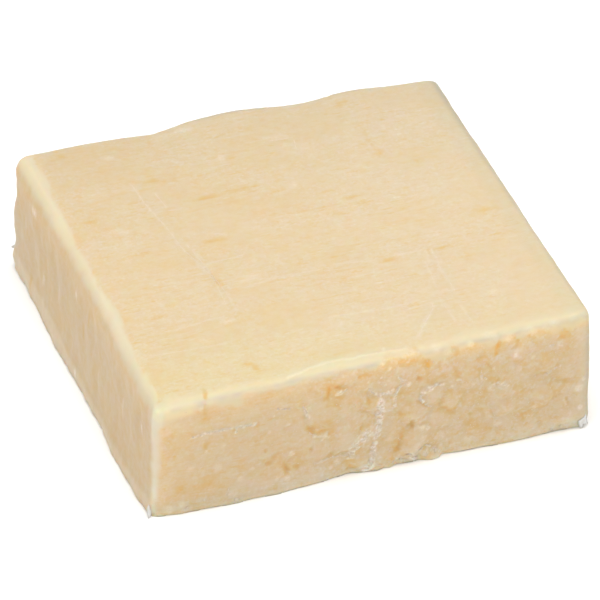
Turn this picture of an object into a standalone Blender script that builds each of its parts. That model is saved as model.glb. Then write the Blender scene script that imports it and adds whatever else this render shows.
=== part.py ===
"""A square slab of white cheddar, cut by wire from a pressed block.

Metres, +Z up. The slab lies flat on its cut underside at z = 0, with the torn front cut towards
-Y, and the origin is under the middle of the slab. It is one solid: a box sliced into a grid, with
its eight corners moved to where the wire left them, humps along its edges, curd relief on the
front, and soft edges from a Bevel whose width differs from edge to edge.
"""

import math

import bmesh
import bpy
from mathutils import Matrix, Vector, noise

# Driving sizes.
LENGTH = 0.0903  # left to right, along the front cut
DEPTH = 0.0903  # front to back
HEIGHT = 0.0262  # thickness of the slab
EDGE_MARGIN = 0.0045  # the outermost cells are this wide, so the widest rounding fits in them
CELLS_ACROSS = 27  # further cells along the length and along the depth
CELLS_UP = 6  # further cells through the thickness

# How far each corner stands off the true box, because a cutting wire wanders.
CORNER_SHIFT = {
    ("left", "front", "low"): (-0.0002, 0.0004, 0.0),
    ("right", "front", "low"): (-0.0003, -0.0001, 0.0),
    ("right", "back", "low"): (0.0004, 0.0001, 0.0),
    ("left", "back", "low"): (-0.0016, 0.0005, 0.0),
    ("left", "front", "high"): (0.0013, -0.0005, 0.0001),
    ("right", "front", "high"): (-0.0003, 0.0007, 0.0009),
    ("right", "back", "high"): (0.0008, -0.0002, 0.0001),
    ("left", "back", "high"): (0.0005, 0.0001, 0.0006),
}

# Roundings of the edges. The one between the top and the left face was pressed widest.
TOP_LEFT_ROUNDING = 0.0034
TOP_FRONT_ROUNDING = 0.0017
TOP_RIGHT_ROUNDING = 0.0014
TOP_BACK_ROUNDING = 0.0020
FRONT_LEFT_ROUNDING = 0.0022
FRONT_RIGHT_ROUNDING = 0.0013
BACK_RIGHT_ROUNDING = 0.0016
BACK_LEFT_ROUNDING = 0.0026
FOOT_ROUNDING = 0.0008
ROUNDING_SEGMENTS = 3

# Humps along an edge: (place along it, height, half width).
BACK_RIM = [
    (-0.031, 0.0004, 0.009),
    (-0.0165, -0.0006, 0.0035),
    (0.000, 0.0020, 0.0125),
    (0.026, 0.0017, 0.0075),
    (0.039, 0.0008, 0.008),
]
RIM_LIFT = 0.55  # share of the back rim's humps that goes upwards
RIM_BULGE = 0.65  # share that goes outwards
RIM_REACH = 0.010  # how far onto the top the rim's rise runs
FRONT_FLARE = [(-0.028, 0.0012, 0.013), (-0.005, -0.0006, 0.004), (0.018, -0.0004, 0.007)]
FLARE_HEIGHT = 0.010  # the flare at the front foot fades out this far up
LEFT_LIP = [(0.040, 0.0007, 0.010), (0.014, 0.0007, 0.016), (-0.027, 0.0008, 0.012)]
LIP_HEIGHT = 0.004  # the lip at the left foot fades out this far up
BACK_LEFT_BULGE = 0.0009  # the back left upright leans out near its top
BULGE_HEIGHT = 0.0225
BULGE_HALF_HEIGHT = 0.006
BULGE_REACH = 0.020  # how far along the left face the bulge runs
TOP_DISH = 0.0003  # how far the middle of the top sinks

# Relief of the torn front: lumps of curd, wider than they are high.
CURD_RELIEF = 0.0005
CURD_LENGTH = 0.0085
CURD_THICKNESS = 0.0055

CHEESE_COLOUR = (0.85, 0.68, 0.43, 1.0)
CHEESE_ROUGHNESS = 0.5
SMOOTH_UP_TO = math.radians(40)


def clear_scene():
    for item in list(bpy.data.objects):
        bpy.data.objects.remove(item)


def hump_height(place, humps):
    """Sum of the smooth humps at one place along an edge."""
    return sum(height * math.exp(-(((place - middle) / half) ** 2)) for middle, height, half in humps)


def corner_pull(across, deep, up):
    """The eight corner shifts blended to one point, whose three shares run from 0 to 1."""
    pull = Vector((0.0, 0.0, 0.0))
    for (side, end, level), shift in CORNER_SHIFT.items():
        weight = across if side == "right" else 1 - across
        weight *= deep if end == "back" else 1 - deep
        weight *= up if level == "high" else 1 - up
        pull += Vector(shift) * weight
    return pull


def moved_point(point):
    """Where a point of the true box goes on the cut slab. Points at z = 0 stay at z = 0."""
    across = point.x / LENGTH + 0.5
    deep = point.y / DEPTH + 0.5
    up = point.z / HEIGHT
    moved = point + corner_pull(across, deep, up)

    rim = hump_height(point.x, BACK_RIM)
    from_back = (1 - deep) * DEPTH
    moved.z += RIM_LIFT * rim * up * math.exp(-((from_back / RIM_REACH) ** 2))
    moved.y += RIM_BULGE * rim * up * deep**4

    front = (1 - deep) ** 4
    moved.y -= hump_height(point.x, FRONT_FLARE) * front * math.exp(-((point.z / FLARE_HEIGHT) ** 2))
    curd = noise.noise(Vector((point.x / CURD_LENGTH, 0.0, point.z / CURD_THICKNESS)))
    moved.y -= CURD_RELIEF * curd * front

    left = (1 - across) ** 4
    moved.x -= hump_height(point.y, LEFT_LIP) * left * math.exp(-((point.z / LIP_HEIGHT) ** 2))
    lean = math.exp(-(((point.z - BULGE_HEIGHT) / BULGE_HALF_HEIGHT) ** 2))
    moved.x -= BACK_LEFT_BULGE * left * lean * math.exp(-((from_back / BULGE_REACH) ** 2))

    moved.z -= TOP_DISH * up * math.sin(math.pi * across) * math.sin(math.pi * deep)
    return moved


def slice_places(start, run, cells):
    """Where one side is sliced: a margin at each end, and even cells between."""
    inner = run - 2 * EDGE_MARGIN
    return [start + EDGE_MARGIN + inner * cell / cells for cell in range(cells + 1)]


def sliced_box():
    """The true box, standing on z = 0, with all six sides sliced into a grid."""
    box = bmesh.new()
    bmesh.ops.create_cube(box, size=1.0)
    bmesh.ops.scale(box, vec=(LENGTH, DEPTH, HEIGHT), verts=box.verts)
    bmesh.ops.translate(box, vec=(0.0, 0.0, HEIGHT / 2), verts=box.verts)
    slices = [(Vector((1, 0, 0)), place) for place in slice_places(-LENGTH / 2, LENGTH, CELLS_ACROSS)]
    slices += [(Vector((0, 1, 0)), place) for place in slice_places(-DEPTH / 2, DEPTH, CELLS_ACROSS)]
    slices += [(Vector((0, 0, 1)), place) for place in slice_places(0.0, HEIGHT, CELLS_UP)]
    for normal, place in slices:
        whole = box.verts[:] + box.edges[:] + box.faces[:]
        bmesh.ops.bisect_plane(box, geom=whole, plane_co=normal * place, plane_no=normal)
    return box


def edge_rounding(edge):
    """How far the box's edge along this stretch is rounded, or 0 where the stretch is inside a side."""

    def lies_at(axis, value):
        return all(abs(vert.co[axis] - value) < EDGE_MARGIN / 100 for vert in edge.verts)

    left = lies_at(0, -LENGTH / 2)
    right = lies_at(0, LENGTH / 2)
    front = lies_at(1, -DEPTH / 2)
    back = lies_at(1, DEPTH / 2)
    top = lies_at(2, HEIGHT)
    foot = lies_at(2, 0.0)
    roundings = [
        (foot and (left or right or front or back), FOOT_ROUNDING),
        (top and left, TOP_LEFT_ROUNDING),
        (top and front, TOP_FRONT_ROUNDING),
        (top and right, TOP_RIGHT_ROUNDING),
        (top and back, TOP_BACK_ROUNDING),
        (front and left, FRONT_LEFT_ROUNDING),
        (front and right, FRONT_RIGHT_ROUNDING),
        (back and right, BACK_RIGHT_ROUNDING),
        (back and left, BACK_LEFT_ROUNDING),
    ]
    return next((rounding for here, rounding in roundings if here), 0.0)


def cheese_material():
    material = bpy.data.materials.new("white_cheddar")
    material.use_nodes = True
    shader = material.node_tree.nodes["Principled BSDF"]
    shader.inputs["Base Color"].default_value = CHEESE_COLOUR
    shader.inputs["Roughness"].default_value = CHEESE_ROUGHNESS
    shader.inputs["Metallic"].default_value = 0.0
    return material


def cheddar_chunk(collection):
    box = sliced_box()
    weight = box.edges.layers.float.new("bevel_weight_edge")
    for edge in box.edges:
        edge[weight] = edge_rounding(edge) / TOP_LEFT_ROUNDING
    for vert in box.verts:
        vert.co = moved_point(vert.co)
    mesh = bpy.data.meshes.new("cheddar_chunk")
    box.to_mesh(mesh)
    box.free()
    mesh.materials.append(cheese_material())
    mesh.shade_smooth()
    mesh.set_sharp_from_angle(angle=SMOOTH_UP_TO)
    chunk = bpy.data.objects.new("cheddar_chunk", mesh)
    collection.objects.link(chunk)
    bevel = chunk.modifiers.new("soft_edges", "BEVEL")
    bevel.limit_method = "WEIGHT"
    bevel.width = TOP_LEFT_ROUNDING
    bevel.segments = ROUNDING_SEGMENTS
    return chunk


def centre_over_origin(chunk):
    """Moves the finished slab so that the origin is under the middle of its box."""
    finished = chunk.evaluated_get(bpy.context.evaluated_depsgraph_get())
    middle = sum((Vector(corner) for corner in finished.bound_box), Vector()) / 8
    chunk.data.transform(Matrix.Translation((-middle.x, -middle.y, 0.0)))


def main():
    clear_scene()
    collection = bpy.data.collections.new("cheddar_chunk")
    bpy.context.scene.collection.children.link(collection)
    chunk = cheddar_chunk(collection)
    centre_over_origin(chunk)


main()
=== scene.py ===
import math

import bmesh
import bpy
import numpy as np
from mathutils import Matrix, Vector
from mathutils.bvhtree import BVHTree


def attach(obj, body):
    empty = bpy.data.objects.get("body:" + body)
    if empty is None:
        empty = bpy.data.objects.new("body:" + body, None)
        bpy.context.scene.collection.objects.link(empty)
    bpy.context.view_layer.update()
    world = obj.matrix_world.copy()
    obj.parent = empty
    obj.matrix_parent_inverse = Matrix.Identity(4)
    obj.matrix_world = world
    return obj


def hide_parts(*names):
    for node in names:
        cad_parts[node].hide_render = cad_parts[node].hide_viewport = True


# A slab of white cheddar: a finely meshed skin over the fixed solid, with the crumbs, scrapes and
# flakes that a cutting wire leaves on it. Lists below are in millimetres, in the solid's own frame.

mm = 0.001  # one millimetre in scene units
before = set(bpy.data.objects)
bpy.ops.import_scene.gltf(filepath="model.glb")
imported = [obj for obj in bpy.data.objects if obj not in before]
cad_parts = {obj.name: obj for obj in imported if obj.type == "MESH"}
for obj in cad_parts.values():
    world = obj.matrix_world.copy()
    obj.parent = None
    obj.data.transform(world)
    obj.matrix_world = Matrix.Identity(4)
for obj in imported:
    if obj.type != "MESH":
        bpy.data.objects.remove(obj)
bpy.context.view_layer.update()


# colours and nodes

def linearColour(hexText):
    # sRGB hex to the linear values that the shaders work in
    parts = [int(hexText[i:i + 2], 16) / 255 for i in (1, 3, 5)]
    linear = [c / 12.92 if c <= 0.04045 else ((c + 0.055) / 1.055) ** 2.4 for c in parts]
    return (*linear, 1)


def addNode(tree, kind, inputs=None, **settings):
    # inputs go by name or number, each a fixed value, another node or one of its outputs
    node = tree.nodes.new("ShaderNode" + kind)
    for name, setting in settings.items():
        setattr(node, name, setting)
    for spot, value in (inputs or {}).items():
        source = value.outputs[0] if isinstance(value, bpy.types.Node) else value
        if isinstance(source, bpy.types.NodeSocket):
            tree.links.new(source, node.inputs[spot])
        else:
            node.inputs[spot].default_value = source
    return node


def newMaterial(name):
    material = bpy.data.materials.new(name)
    material.use_nodes = True
    material.node_tree.nodes.clear()
    return material


def perMetre(sizeMm):
    # texture scale that makes one feature this many millimetres wide
    return 1000 / sizeMm


# noise in numpy, the same on every run

def hashed(cells, seed):
    h = cells[..., 0] * 374761393 + cells[..., 1] * 668265263 + cells[..., 2] * 1440662683
    h = (h + seed * 1274126177) & 0xFFFFFFFF
    h = ((h ^ (h >> 13)) * 1103515245) & 0xFFFFFFFF
    h = ((h ^ (h >> 16)) * 974634777) & 0xFFFFFFFF
    return ((h ^ (h >> 15)) & 0xFFFF) / 65535


def softNoise(points, size, seed):
    # gradient noise, about -1 to 1; size is the feature size along x, y and z
    q = points / np.array(size, float)
    cell = np.floor(q).astype(np.int64)
    part = q - cell
    fade = part ** 3 * (part * (part * 6 - 15) + 10)
    total = np.zeros(len(points))
    for corner in np.ndindex(2, 2, 2):
        at = cell + corner
        slope = np.stack([hashed(at, seed + k) * 2 - 1 for k in range(3)], 1)
        share = np.prod(np.where(corner, fade, 1 - fade), 1)
        total += share * (slope * (part - corner)).sum(1)
    return total * 1.6


def curdCells(points, size, seed):
    # how far each point is inside its own curd (0 on the seam), and that curd's own tone
    q = points / np.array(size, float)
    cell = np.floor(q).astype(np.int64)
    first = np.full(len(points), 9.0)
    second = np.full(len(points), 9.0)
    tone = np.zeros(len(points))
    for offset in np.ndindex(3, 3, 3):
        at = cell + np.array(offset) - 1
        spot = at + np.stack([hashed(at, seed + k) for k in range(3)], 1)
        gap = np.linalg.norm(q - spot, axis=1)
        closer = gap < first
        second = np.where(closer, first, np.minimum(second, gap))
        tone = np.where(closer, hashed(at, seed + 5), tone)
        first = np.where(closer, gap, first)
    return second - first, tone


def ease(value, low, high):
    # 0 at low, 1 at high, smooth between
    t = np.clip((value - low) / (high - low), 0, 1)
    return t * t * (3 - 2 * t)


def along(place, knots, column=1):
    # a value that changes along an edge, from a few (place, value) knots
    return np.interp(place, [k[0] for k in knots], [k[column] for k in knots])


def relief(points, name, shift=0):
    # the noises listed in reliefSet, added up
    return sum(softNoise(points, size, seed + shift) * height for size, seed, height in reliefSet[name])


def crooked(points, size, seed, reach):
    # points pushed about, so that what is drawn with them runs unevenly
    return points + np.stack([softNoise(points, size, seed + k) for k in range(3)], 1) * reach


def blob(flat, x, y, halfLength, halfWidth, tilt=0, firm=1):
    # a soft oval: 1 in the middle, 0 outside; firm above 1 gives it a plateau
    turn = math.radians(tilt)
    across = (flat[:, 0] - x) * math.cos(turn) + (flat[:, 1] - y) * math.sin(turn)
    up = (flat[:, 1] - y) * math.cos(turn) - (flat[:, 0] - x) * math.sin(turn)
    return np.exp(-((across / halfLength) ** 2 + (up / halfWidth) ** 2) ** firm)


def ovals(flat, rows, wide=1, firm=1):
    # the listed ovals, as their sum and as the strongest one at each point
    spots = [blob(flat, x, y, halfLength, halfWidth * wide, *tilt, firm=firm) * strength
             for x, y, halfLength, halfWidth, strength, *tilt in rows]
    return np.sum(spots, 0), np.max(spots, 0)


# the slab

slabSet = {
    "skin": 0.56,  # size of the skin's faces; the torn front has them half as large
    "quickSkin": 1.8,  # how many times larger the faces are in a coarser skin
    "frontDepth": 3.6,  # how far behind the front the halved faces reach
    "smoothing": 6,  # rounds that take the solid's facets out
    "frontLumps": [  # x, z, half length, half height, rise, tilt in degrees
        (-5, 10.2, 3.2, 3.4, 0.34), (-10.2, 17, 3.2, 2.6, 0.24), (0.3, 16.6, 1.4, 1.6, 0.24),
        (-4.7, 17.4, 2.7, 2.4, 0.24), (-14.1, 10.8, 2.2, 2.2, 0.2), (-10.2, 8.4, 2, 2.2, 0.22),
        (3.6, 15.7, 1.3, 1.4, 0.22), (8.9, 12.7, 2.6, 2, 0.24), (4.2, 9, 2, 2.6, 0.2),
        (9, 4.9, 2.6, 2.6, 0.36, 30), (-2.6, 4.2, 2, 1.9, 0.2), (12.7, 15.7, 2.1, 2.3, 0.3),
        (16.1, 13.4, 1.7, 2.2, 0.28), (19.5, 18.6, 2.8, 2, 0.24), (27, 13.6, 2.5, 2.2, 0.24),
        (35.4, 10.2, 2.4, 2.2, 0.3), (27.6, 9.2, 2.3, 1.8, 0.28), (30.3, 21.2, 1.5, 1.7, 0.26),
        (40.2, 15.2, 1.9, 2.1, 0.2), (14.1, 9.6, 2, 1.9, 0.24), (22.4, 5.6, 2.5, 1.9, 0.2),
        (36, 17.6, 2.4, 2, 0.22), (41, 4.2, 2.2, 1.8, 0.2), (32.2, 4.6, 2.4, 1.9, 0.22),
    ],
    "frontPits": [  # x, z, half length, half height, depth, tilt in degrees
        (-12.3, 13.7, 0.9, 1.3, 0.4, 25), (-9.6, 12.9, 1.8, 0.5, 0.22, 8), (-27.6, 17.4, 0.5, 0.5, 0.3),
        (-22.9, 17.5, 0.4, 0.8, 0.3), (-33.6, 15.2, 0.5, 1.4, 0.22), (-33.3, 21.6, 1.1, 1, 0.1, -20),
        (-40.1, 19.1, 0.6, 0.7, 0.15), (-39.8, 14, 0.4, 0.7, 0.15), (-14, 20.6, 0.6, 0.9, 0.28, 10),
        (-8.6, 21.9, 0.5, 1.3, 0.28), (-15.3, 5.5, 0.8, 0.6, 0.35, -20), (-17.2, 5.3, 0.5, 0.9, 0.35, 20),
        (-21, 8, 0.7, 0.5, 0.3), (-21.8, 11.1, 0.5, 0.5, 0.25), (-6.7, 22.3, 1.1, 0.4, 0.45, -25),
        (-0.6, 18, 0.4, 1.9, 0.22, 8), (-2.1, 24, 0.9, 0.4, 0.25, 10), (9.9, 20.6, 0.8, 0.7, 0.5, -30),
        (11.4, 23.2, 0.8, 2.4, 0.06, -8), (7.7, 17.7, 1, 0.9, 0.22), (17.6, 19.2, 0.7, 0.7, 0.35),
        (24.1, 20.2, 0.4, 1, 0.25, 25), (25.9, 23.6, 0.5, 1.8, 0.12, -14), (10, 14.7, 1.1, 0.6, 0.35, -35),
        (8.4, 9.7, 0.5, 1.1, 0.6, 12), (6, 5.6, 0.5, 2.1, 0.35, -15), (10.9, 2.4, 0.5, 1.1, 0.3, -20),
        (14.9, 12.2, 0.7, 0.5, 0.3), (39.3, 23.6, 0.9, 0.9, 0.05), (40.8, 7.6, 0.42, 1.1, 0.4, 5),
        (-4.3, 1.9, 1.3, 0.5, 0.2, 10), (-12.4, 9.2, 0.5, 0.5, 0.25), (-8, 6.5, 0.6, 0.6, 0.3),
        (-5.5, 6.2, 1.8, 0.4, 0.22, 10), (-1.9, 11.3, 0.4, 1.3, 0.25, -15), (4.25, 15.7, 0.25, 0.6, 0.2),
        (20.9, 9, 0.6, 0.4, 0.2), (31.3, 6, 0.5, 0.9, 0.25, 15), (16.6, 2.9, 0.35, 0.6, 0.2),
        (31.2, 12.2, 1.2, 0.3, 0.2, 25),
    ],
    "frontCrevices": [  # gaps between the lumps: half width, depth, (x, z) points
        (0.5, 0.35, [(-1.4, 19.7), (-1.9, 18.1), (-1.8, 16.4), (-0.9, 14.9)]),
        (0.45, 0.35, [(-3.6, 11.4), (-2.6, 10.4), (-1.2, 11.4), (0.1, 12.3)]),
        (0.7, 0.5, [(7.6, 10.2), (6.6, 8.6), (5.5, 7.3), (5.1, 5.2), (4.5, 3.2), (3.9, 1.7)]),
        (0.5, 0.3, [(5.8, 18.8), (6.3, 16.6), (8, 14.9)]), (0.6, 0.35, [(8.4, 19.5), (9.8, 20.7)]),
        (0.6, 0.4, [(10.5, 1), (12, 1.7), (13.1, 3)]), (0.5, 0.3, [(17.2, 21), (17.5, 19.1), (17.8, 17.6)]),
        (0.5, 0.3, [(34.6, 3.6), (36, 1.5)]), (0.5, 0.4, [(-5.6, 22.6), (-8, 22), (-8.7, 20.7)]),
        (0.7, 0.35, [(-4.4, 3.4), (-2.9, 1.5)]), (0.6, 0.4, [(-13.3, 17.1), (-13, 15.1), (-11.8, 12.7)]),
        (0.5, 0.35, [(-17.2, 5), (-17, 6.9), (-15.6, 7.5), (-14.1, 6.4)]),
        (0.4, 0.25, [(0.4, 18.8), (1.1, 16.1), (1.5, 14.8)]),
        (0.6, 0.2, [(22.1, 22.6), (23, 19.8), (22.2, 18.4)]), (0.6, 0.2, [(28.1, 13.4), (29.6, 11.8)]),
        (0.7, 0.25, [(14.2, 14.1), (15.6, 12.4), (16.5, 10.9)]),
        (0.45, 0.25, [(10.2, 18), (10.6, 15.8), (12.2, 13.4), (14, 13.2)]),
        (0.5, 0.25, [(-4.7, 18), (-3.6, 16)]), (0.6, 0.2, [(20.4, 7.2), (21.8, 5.6)]),
        (0.5, 0.25, [(18.6, 14.8), (19.4, 12.4)]), (0.6, 0.25, [(-8.6, 15), (-7.4, 13.4), (-8, 11.8)]),
        (0.5, 0.25, [(-21.8, 9), (-20.2, 8.2), (-19.4, 9.4)]), (0.6, 0.2, [(33, 12.6), (34, 14.8)]),
    ],
    "frontHoney": [  # broad yellow patches on the front: x, z, half length, half height, strength, tilt
        (-34.2, 6.3, 3.4, 2, 1.1, 38), (-39, 4.6, 1.6, 1.2, 0.6), (-38.6, 5.8, 1, 0.8, 0.8),
        (-29.7, 9, 1.2, 0.5, 0.4, 10), (-33.6, 21, 1.4, 1.4, 0.45), (-2, 8, 1, 1.2, 0.4),
        (22.5, 12, 2.2, 1.6, 0.6), (33, 15, 1.6, 2.2, 0.4), (39.4, 8.8, 1.4, 2, 0.4),
        (-20.6, 12, 1.4, 1.2, 0.4), (35.8, 20.4, 0.8, 2.2, 0.4), (12.2, 4, 0.8, 2.4, 0.5, -20),
        (-8.4, 23.6, 4, 1.2, 0.15), (4, 23, 5, 1.2, 0.12), (17, 22.6, 4, 1.4, 0.15),
    ],
    # marks over the front ridge: x, then millimetres onto the top (above 0) or down the front (below 0)
    "ridgeFolds": [  # moist folds: half width, depth, points
        (0.6, 0.2, [(-32.6, 1.6), (-33, 0.3), (-33.4, -1.6), (-33.6, -3.6)]),
        (0.6, 0.12, [(-31, 1.6), (-32.4, -0.6)]), (1.2, 0.13, [(12.2, 0.4), (11.8, -1.3), (11.2, -2.6)]),
        (0.5, 0.13, [(26.4, 0.2), (26.1, -1), (25.7, -3.9)]), (0.8, 0.06, [(38.9, 0.2), (39.4, -3)]),
        (0.6, 0.1, [(-1, -0.8), (-0.8, -3)]),
    ],
    "ridgeMilk": [  # soft white spots: x, place, radius, strength
        (3.7, 2.6, 0.5, 0.5), (8, 0.2, 1.2, 0.2), (13.4, 0.3, 1.1, 0.3), (20.4, -0.5, 0.9, 0.35),
        (24.6, 0.2, 1.5, 0.2), (32.4, -0.2, 1.3, 0.2), (37.6, 0.2, 1.1, 0.2), (41.9, 0.8, 0.9, 0.2),
    ],
    "ridgeCrest": [(-16.6, 0.3), (-13.8, 1.1), (-10.4, 1.8), (-7.2, 2.2), (-3, 2), (2.4, 1.8), (7.6, 1.3)],
    "topHoney": [  # amber streaks on the top: x, y, half length, half width, strength
        (-4.6, 19.1, 2.9, 0.45, 1), (-11.8, 18.4, 2.2, 0.4, 0.7), (-15.1, 3.7, 2.3, 0.5, 0.8),
        (7.4, 7.6, 3.4, 0.4, 0.6), (15.6, 9.3, 1.7, 0.45, 0.9), (-20.8, 27.4, 1.3, 0.4, 0.7),
        (16.8, 6.3, 0.8, 0.6, 0.6), (14.9, -14.1, 1.2, 0.45, 1), (26.1, -13.8, 1.2, 0.4, 1),
        (24.1, 41, 1.2, 0.6, 0.6), (38.8, -4.3, 2.2, 0.7, 0.6), (32.4, 16.4, 0.7, 0.7, 0.5),
        (-19.4, -10, 0.8, 1.8, 0.9), (-21.3, -39.3, 0.6, 1.3, 0.9), (-22.6, -37.6, 1.2, 0.5, 0.7),
        (25.6, 28.6, 0.5, 2.9, 0.35), (26.1, 22.6, 0.9, 1.2, 0.6), (9, 32.6, 1.3, 0.5, 0.5),
        (-13.5, 18.3, 1.4, 0.3, 0.5), (1.4, 16, 1.8, 0.35, 0.5), (11, 12.6, 2.2, 0.3, 0.4),
        (-31.5, 3.6, 2.4, 0.4, 0.5), (-36.5, 17.5, 2, 0.4, 0.5), (-26.6, 21, 1.4, 0.4, 0.6),
        (-33, -43.6, 0.7, 1.6, 0.6), (-42, -42.6, 1.4, 0.5, 0.8), (20.5, -8, 3.2, 0.4, 0.4),
        (-34, -17.5, 2, 0.35, 0.6), (5, -18, 3, 0.35, 0.5), (30, -18, 2.4, 0.35, 0.4),
    ],
    "topMilk": [  # smeared white spots on the top: x, y, half length, half width, strength
        (-26.8, 37.9, 1.2, 0.7, 1), (-29.3, 37, 0.5, 0.9, 0.6), (-5.2, 30.7, 0.7, 1.2, 0.9),
        (5.9, 16.9, 0.6, 0.9, 0.9), (-21.6, -23.3, 1.3, 0.6, 1), (7, 34.2, 2.8, 0.6, 0.6),
        (8.6, 30.6, 1.1, 1.8, 0.5), (-27.8, -28, 1.6, 1.2, 0.5), (-12.8, -10.8, 2.2, 1.8, 0.5),
        (-33.3, 12.6, 1.6, 1, 0.5), (-14.2, 42, 2.4, 1.2, 0.5), (-10, 42.2, 2.2, 1.1, 0.9),
        (30, -31, 1, 1, 0.7), (11, 30, 3, 3, 0.25), (-33, 26, 2.4, 1, 0.3),
    ],
    "leftHoney": [  # yellow spots on the left face: y, z, half length, half height, strength
        (32.3, 3.7, 0.6, 1.8, 0.8), (-4.2, 19.5, 0.5, 1.8, 0.8), (-1.3, 14, 0.5, 1.4, 0.8),
        (10, 21, 0.5, 1.4, 0.5), (20, 12, 0.5, 2.4, 0.4), (-20, 15, 0.5, 2, 0.4),
    ],
    "leftMilk": [  # white flecks on the left face: y, z, half length, half height, strength
        (31, 21.9, 1.3, 1.1, 0.9), (24.2, 9.9, 0.5, 1.5, 1), (3.7, 19.9, 0.5, 1, 1),
        (-38.1, 16.5, 0.5, 1.2, 1), (1.5, 2.4, 0.5, 0.8, 1), (14, 13, 0.4, 2, 0.5), (-12, 10, 0.4, 2.4, 0.4),
        (-27, 14, 0.4, 2.6, 0.4), (37, 15, 0.4, 2.4, 0.35),
    ],
    "frontMilk": [  # dried white spots on the front: x, z, radius, strength
        (-9.3, 11.4, 0.45, 0.9), (-9.9, 10.7, 0.35, 0.7), (-8.6, 11, 0.35, 0.7), (-10.6, 11.6, 0.3, 0.6),
        (-16.2, 9, 0.7, 0.9), (-33.4, 13.8, 0.4, 0.7), (-34.2, 24.2, 0.4, 0.3), (2.3, 25.7, 0.4, 0.7),
        (3.7, 24.2, 0.42, 0.8), (2.1, 22.6, 0.36, 0.7), (3.6, 21.5, 0.38, 0.7), (1.6, 21.5, 0.3, 0.6),
        (2.9, 20.6, 0.36, 0.7), (-0.6, 22.2, 0.32, 0.6), (7.8, 19.5, 0.65, 1), (6.9, 20.4, 0.3, 0.7),
        (16.7, 16.9, 0.35, 0.7), (29.6, 21.2, 0.5, 0.8), (43.3, 9.9, 0.95, 0.9), (43.6, 5.4, 0.6, 1),
        (44.1, 12, 0.5, 0.8), (25.4, 18.9, 0.36, 0.6), (20.4, 25.7, 0.7, 0.5), (25.5, 26.1, 0.7, 0.4),
        (32.8, 25.9, 1, 0.4), (36, 25.6, 0.9, 0.3), (28.4, 25.4, 0.9, 0.3), (15.6, 25.2, 0.8, 0.4),
        (10.6, 8.4, 0.7, 0.8), (11.8, 8, 0.5, 0.8), (9.8, 8.7, 0.4, 0.6), (5.6, 1.9, 0.4, 0.6),
        (11.4, 1.9, 0.9, 0.7), (13.2, 2.2, 0.7, 0.5), (9.8, 4.4, 1.1, 0.45), (10.8, 6, 0.8, 0.4),
        (-1.6, 1.4, 0.8, 0.6), (-6.8, 4.4, 0.7, 0.6), (-8.2, 3.4, 0.6, 0.5), (-17.2, 3.4, 0.7, 0.6),
        (-19.2, 4, 0.5, 0.5), (-29, 3, 0.8, 0.5), (-41, 1.6, 1, 0.6), (-38.4, 2.2, 0.8, 0.5),
        (-31.2, 9.4, 1, 0.4), (-30, 14.4, 0.7, 0.4), (-36.6, 10.6, 0.7, 0.4), (-24.2, 7.6, 0.5, 0.5),
        (-26.8, 5.8, 0.6, 0.4), (14.4, 5.2, 1.1, 0.4), (20.2, 3.4, 0.8, 0.4), (26.2, 5.6, 0.9, 0.4),
        (24.6, 14.6, 0.8, 0.4), (30.6, 17.6, 0.7, 0.5), (33.4, 19.6, 0.5, 0.5), (34, 8, 0.6, 0.5),
        (18.4, 14.4, 0.5, 0.5), (21, 16.4, 0.4, 0.5), (-3.4, 14.2, 0.4, 0.4), (-7, 14.6, 0.3, 0.5),
        (-16.8, 16.2, 0.4, 0.5), (-20.6, 15.2, 0.4, 0.4), (-19.6, 18.6, 0.3, 0.6), (-12.6, 19, 0.3, 0.6),
    ],
    "frontVeins": [  # dried white threads on the front: half width, strength, (x, z) points
        (0.75, 1, [(1.8, 17), (1.95, 15.2), (1.9, 13.4)]), (0.6, 1, [(1.9, 13.4), (1.7, 12.4), (1.4, 9.1)]),
        (0.5, 1, [(1.4, 9.1), (0.7, 6.6), (0.4, 3.2)]), (0.7, 0.9, [(0.4, 3.4), (0, 1.6), (-0.9, 0.7)]),
        (1, 0.9, [(-0.3, 10), (-1.6, 8.7), (-2.9, 7.4), (-3.3, 6.6)]),
        (0.7, 0.8, [(-3.3, 6.6), (-4.2, 5.2)]),
        (0.3, 0.9, [(1.7, 17.6), (2, 18.6), (3.6, 18.6), (4.4, 18.9)]),
        (0.22, 0.9, [(5.7, 21.7), (6.3, 21), (6.8, 20.1)]),
        (0.25, 0.9, [(7.1, 19.6), (5.7, 19.1), (4.9, 17.7)]),
        (0.3, 0.8, [(4.7, 16.9), (4.8, 16), (4.9, 15.1)]),
        (0.22, 0.7, [(2, 17.9), (0.5, 19.2), (-0.6, 20.7)]),
        (0.25, 0.9, [(11.5, 17.3), (13, 18), (14.8, 17.8)]),
        (0.3, 0.9, [(10.8, 17), (10.1, 15.5), (10.7, 14.5)]), (0.2, 0.6, [(11, 14.2), (12.4, 13)]),
        (0.25, 0.7, [(17.6, 18.2), (18.6, 18)]), (0.22, 0.7, [(25.2, 15.5), (26.6, 15.4), (28.2, 14.7)]),
        (0.22, 0.7, [(22.6, 18.6), (23, 17.2), (24, 17)]),
        (0.3, 0.8, [(36.4, 14.8), (37.6, 15.6), (38.8, 16)]),
        (0.25, 0.5, [(37, 21.4), (38.4, 22), (39.4, 21.2)]),
        (0.25, 0.8, [(-4.9, 21.5), (-6, 21.2), (-7.1, 20.7)]),
        (0.22, 0.8, [(-13.8, 19.8), (-13.2, 18.4), (-12.8, 16.6)]),
        (0.25, 0.6, [(-12.6, 13.2), (-11.6, 12), (-9.8, 11.4)]),
        (0.45, 0.9, [(8.5, 2.9), (8.6, 2), (8.9, 1)]),
        (0.25, 0.8, [(-36.3, 17.9), (-32.2, 18.1), (-28.3, 18.1)]),
        (0.25, 0.8, [(-27.2, 17.1), (-27.2, 18.1), (-25, 18), (-22.9, 17.7)]),
        (0.2, 0.5, [(-11.6, 5.2), (-8.2, 5.8), (-4.4, 5.4)]), (0.2, 0.6, [(-16, 19.6), (-19, 20.2)]),
    ],
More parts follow.
